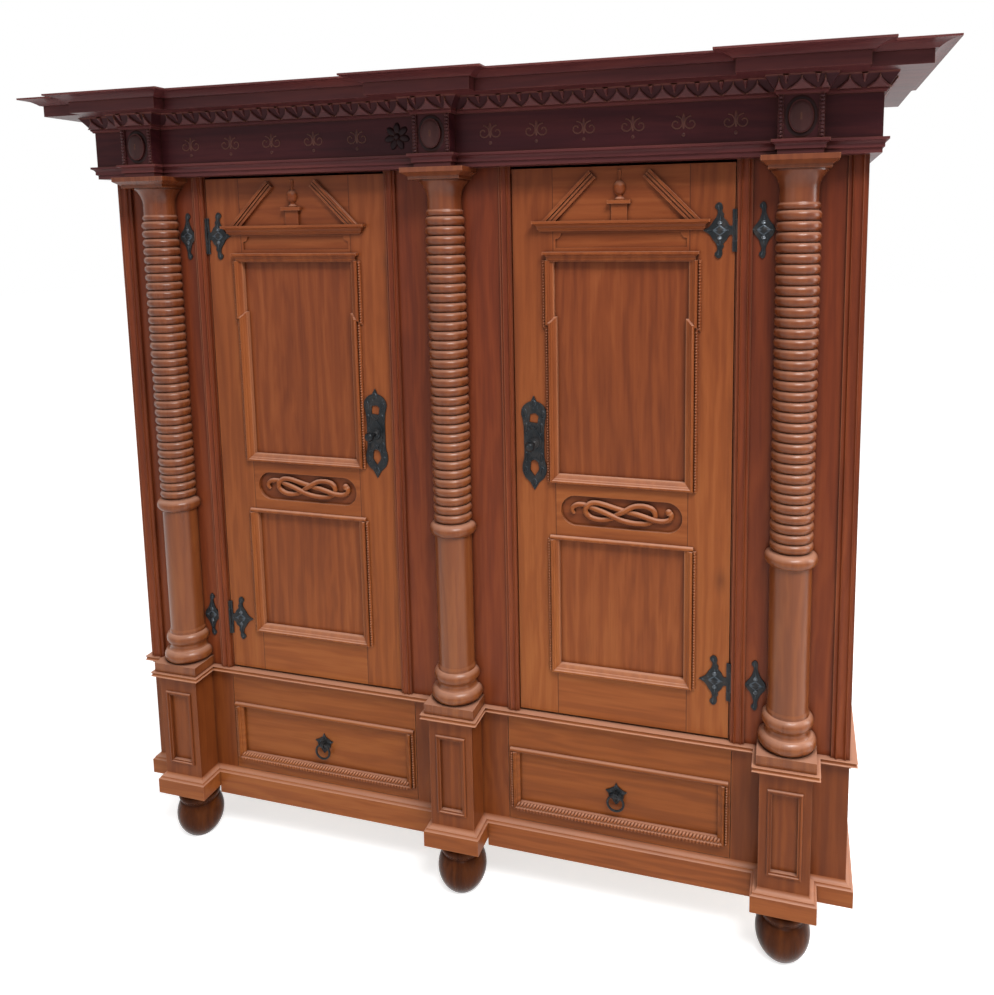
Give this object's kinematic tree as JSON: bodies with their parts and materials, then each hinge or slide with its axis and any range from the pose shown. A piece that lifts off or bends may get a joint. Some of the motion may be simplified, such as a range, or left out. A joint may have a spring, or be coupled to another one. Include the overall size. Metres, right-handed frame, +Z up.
{
  "type": "kas cupboard",
  "caption": "Tall joined cupboard with panelled doors, drawers below, ring-turned columns, broken-forward cornice, bun feet and pierced iron fittings.",
  "frame": {"origin": "on the floor under the middle of the cupboard's bounding box", "axes": "+Z up, the doors face -Y, +X to the right of someone facing the doors"},
  "size_m": [2.126, 0.696, 2],
  "materials": {
    "cherry": "satin",
    "panel": "satin",
    "frame": "satin",
    "dark": "satin",
    "foot": "gloss",
    "inside": "matte",
    "iron": "satin"
  },
  "bodies": {
    "carcass": {"base_plinth": "cherry", "ledge_moulding": "cherry", "pedestal_left": "cherry", "pedestal_centre": "cherry", "pedestal_right": "cherry", "lower_side_left": "cherry", "lower_side_right": "cherry", "side_left": "cherry", "side_right": "cherry", "column_left": "cherry", "column_centre": "cherry", "column_right": "cherry", "stile_left": "frame", "stile_centre": "frame", "stile_right": "frame", "architrave": "dark", "frieze": "dark", "carved_band": "dark", "cornice": "dark", "foot_front_left": "foot", "foot_front_centre": "foot", "foot_front_right": "foot", "foot_rear_left": "foot", "foot_rear_right": "foot", "base_floor": "inside", "cupboard_floor": "inside", "back_panel": "inside", "centre_partition": "inside", "shelf": "inside", "hanging_rail": "inside", "top_board": "inside", "frame_hinges_left": "iron", "frame_hinges_right": "iron"},
    "door_left": {"door_frame_left": "cherry", "door_panel_lower_left": "panel", "door_panel_upper_left": "panel", "panel_mouldings_left": "frame", "pediment_left": "frame", "knot_left": "cherry", "door_hinges_left": "iron", "lock_plate_left": "iron"},
    "latch_left": {"knob_left": "iron"},
    "drawer_left": {"drawer_front_left": "cherry", "drawer_box_left": "inside", "pull_plate_left": "iron"},
    "ring_left": {"pull_ring_left": "iron"},
    "door_right": {"door_frame_right": "cherry", "door_panel_lower_right": "panel", "door_panel_upper_right": "panel", "panel_mouldings_right": "frame", "pediment_right": "frame", "knot_right": "cherry", "door_hinges_right": "iron", "lock_plate_right": "iron"},
    "latch_right": {"knob_right": "iron"},
    "drawer_right": {"drawer_front_right": "cherry", "drawer_box_right": "inside", "pull_plate_right": "iron"},
    "ring_right": {"pull_ring_right": "iron"}
  },
  "joints": [
    {"name": "door_left_swing", "type": "hinge", "parent": "carcass", "child": "door_left", "pos_m": [-0.6628, -0.154, 1.147], "axis": [0, 0, -1], "range_deg": [0, 105]},
    {"name": "latch_left_turn", "type": "hinge", "parent": "door_left", "child": "latch_left", "pos_m": [-0.205, -0.15, 1.166], "axis": [0, 1, 0], "range_deg": [0, 90]},
    {"name": "drawer_left_slide", "type": "slide", "parent": "carcass", "child": "drawer_left", "axis": [0, -1, 0], "range_m": [0, 0.34]},
    {"name": "ring_left_swing", "type": "hinge", "parent": "drawer_left", "child": "ring_left", "pos_m": [-0.397, -0.1555, 0.308], "axis": [-1, 0, 0], "range_deg": [0, 80]},
    {"name": "door_right_swing", "type": "hinge", "parent": "carcass", "child": "door_right", "pos_m": [0.6628, -0.154, 1.147], "axis": [0, 0, 1], "range_deg": [0, 105]},
    {"name": "latch_right_turn", "type": "hinge", "parent": "door_right", "child": "latch_right", "pos_m": [0.205, -0.15, 1.166], "axis": [0, -1, 0], "range_deg": [0, 90]},
    {"name": "drawer_right_slide", "type": "slide", "parent": "carcass", "child": "drawer_right", "axis": [0, -1, 0], "range_m": [0, 0.34]},
    {"name": "ring_right_swing", "type": "hinge", "parent": "drawer_right", "child": "ring_right", "pos_m": [0.397, -0.1555, 0.308], "axis": [-1, 0, 0], "range_deg": [0, 80]}
  ]
}
